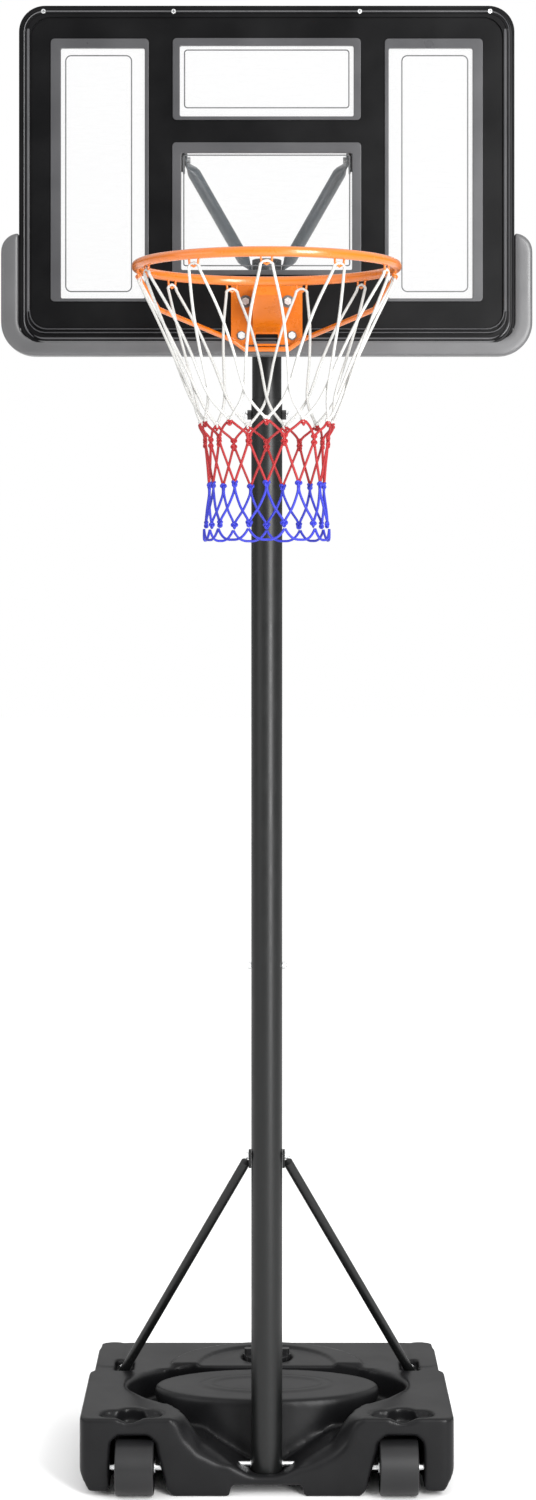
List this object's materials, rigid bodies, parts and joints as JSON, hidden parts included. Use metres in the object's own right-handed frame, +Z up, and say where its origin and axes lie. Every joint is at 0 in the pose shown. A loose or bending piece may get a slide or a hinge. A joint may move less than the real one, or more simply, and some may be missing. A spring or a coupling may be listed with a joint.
{
  "type": "portable basketball hoop",
  "caption": "Free-standing basketball hoop with a fillable rolling base, braced height-adjustable pole, framed clear-panel backboard, braced ring and knotted net.",
  "frame": {"origin": "on the floor under the middle of the whole object", "axes": "+Z up, +X to the right of a viewer who faces the backboard's front, -Y the way the ring reaches out"},
  "size_m": [1.046, 1.3365, 2.987],
  "materials": {
    "tank_plastic": "blow-moulded polyethylene, satin",
    "cap_plastic": "moulded black plastic",
    "seal_rubber": "smooth black rubber",
    "wheel_plastic": "moulded plastic, worn tread",
    "zinc_steel": "bright zinc plate",
    "tube_paint": "satin black powder coat",
    "arm_paint": "grey powder coat",
    "frame_plastic": "moulded black polyethylene",
    "guard_rubber": "moulded dark grey guard",
    "trim_plastic": "grey moulded trim",
    "pane_acrylic": "clear acrylic sheet",
    "rim_paint": "orange powder coat",
    "net_white": "braided white cord",
    "net_red": "braided red cord",
    "net_blue": "braided blue cord"
  },
  "bodies": {
    "stand": {"base_tank": "tank_plastic", "cap_seal": "seal_rubber", "wheel_axles": "zinc_steel", "axle_washers": "zinc_steel", "pivot_rod": "zinc_steel", "pivot_clips": "zinc_steel", "lower_tube": "tube_paint", "middle_tube": "tube_paint", "seam_bolt": "zinc_steel", "seam_nut": "zinc_steel", "strut_bolt": "zinc_steel", "strut_nut": "zinc_steel", "left_strut": "tube_paint", "right_strut": "tube_paint", "strut_foot_bolts": "zinc_steel", "strut_foot_nuts": "zinc_steel", "clamp_nuts": "tube_paint"},
    "carriage": {"upper_tube": "tube_paint", "pole_top_cap": "cap_plastic", "board_frame": "frame_plastic", "edge_guard": "guard_rubber", "left_trim": "trim_plastic", "right_trim": "trim_plastic", "top_trim": "trim_plastic", "target_trim": "trim_plastic", "left_pane": "pane_acrylic", "right_pane": "pane_acrylic", "top_pane": "pane_acrylic", "target_pane": "pane_acrylic", "board_screws": "zinc_steel", "left_arm_bracket": "tube_paint", "right_arm_bracket": "tube_paint", "bracket_screws": "zinc_steel", "left_upper_arm": "arm_paint", "right_upper_arm": "arm_paint", "left_lower_arm": "tube_paint", "right_lower_arm": "tube_paint", "pole_arm_bolts": "zinc_steel", "pole_arm_nuts": "zinc_steel", "board_arm_bolts": "zinc_steel", "board_arm_nuts": "zinc_steel", "rim_back_plate": "tube_paint", "rim_bracket": "rim_paint", "rim_ring": "rim_paint", "brace_rod": "rim_paint", "rim_bolts": "zinc_steel", "rim_washers": "zinc_steel", "rim_nuts": "zinc_steel", "net_hooks": "rim_paint", "net": "net_white"},
    "left_wheel": {"left_wheel": "wheel_plastic"},
    "right_wheel": {"right_wheel": "wheel_plastic"},
    "fill_cap": {"fill_cap": "cap_plastic"},
    "left_clamp": {"left_clamp_screw": "zinc_steel"},
    "right_clamp": {"right_clamp_screw": "zinc_steel"}
  },
  "joints": [
    {"name": "pole_height", "type": "slide", "parent": "stand", "child": "carriage", "axis": [0, 0, 1], "range_m": [-0.08, 0.62]},
    {"name": "left_wheel_spin", "type": "hinge", "parent": "stand", "child": "left_wheel", "pos_m": [-0.268, 0.13325, 0.056], "axis": [1, 0, 0], "continuous": true},
    {"name": "right_wheel_spin", "type": "hinge", "parent": "stand", "child": "right_wheel", "pos_m": [0.268, 0.13325, 0.056], "axis": [1, 0, 0], "continuous": true},
    {"name": "cap_turn", "type": "hinge", "parent": "stand", "child": "fill_cap", "pos_m": [0, 0.56325, 0.15], "axis": [0, 0, 1], "range_deg": [0, 540]},
    {"name": "left_clamp_turn", "type": "hinge", "parent": "stand", "child": "left_clamp", "pos_m": [-0.045, 0.17825, 2.196], "axis": [-1, 0, 0], "range_deg": [0, 720]},
    {"name": "right_clamp_turn", "type": "hinge", "parent": "stand", "child": "right_clamp", "pos_m": [0.045, 0.17825, 2.196], "axis": [1, 0, 0], "range_deg": [0, 720]}
  ]
}
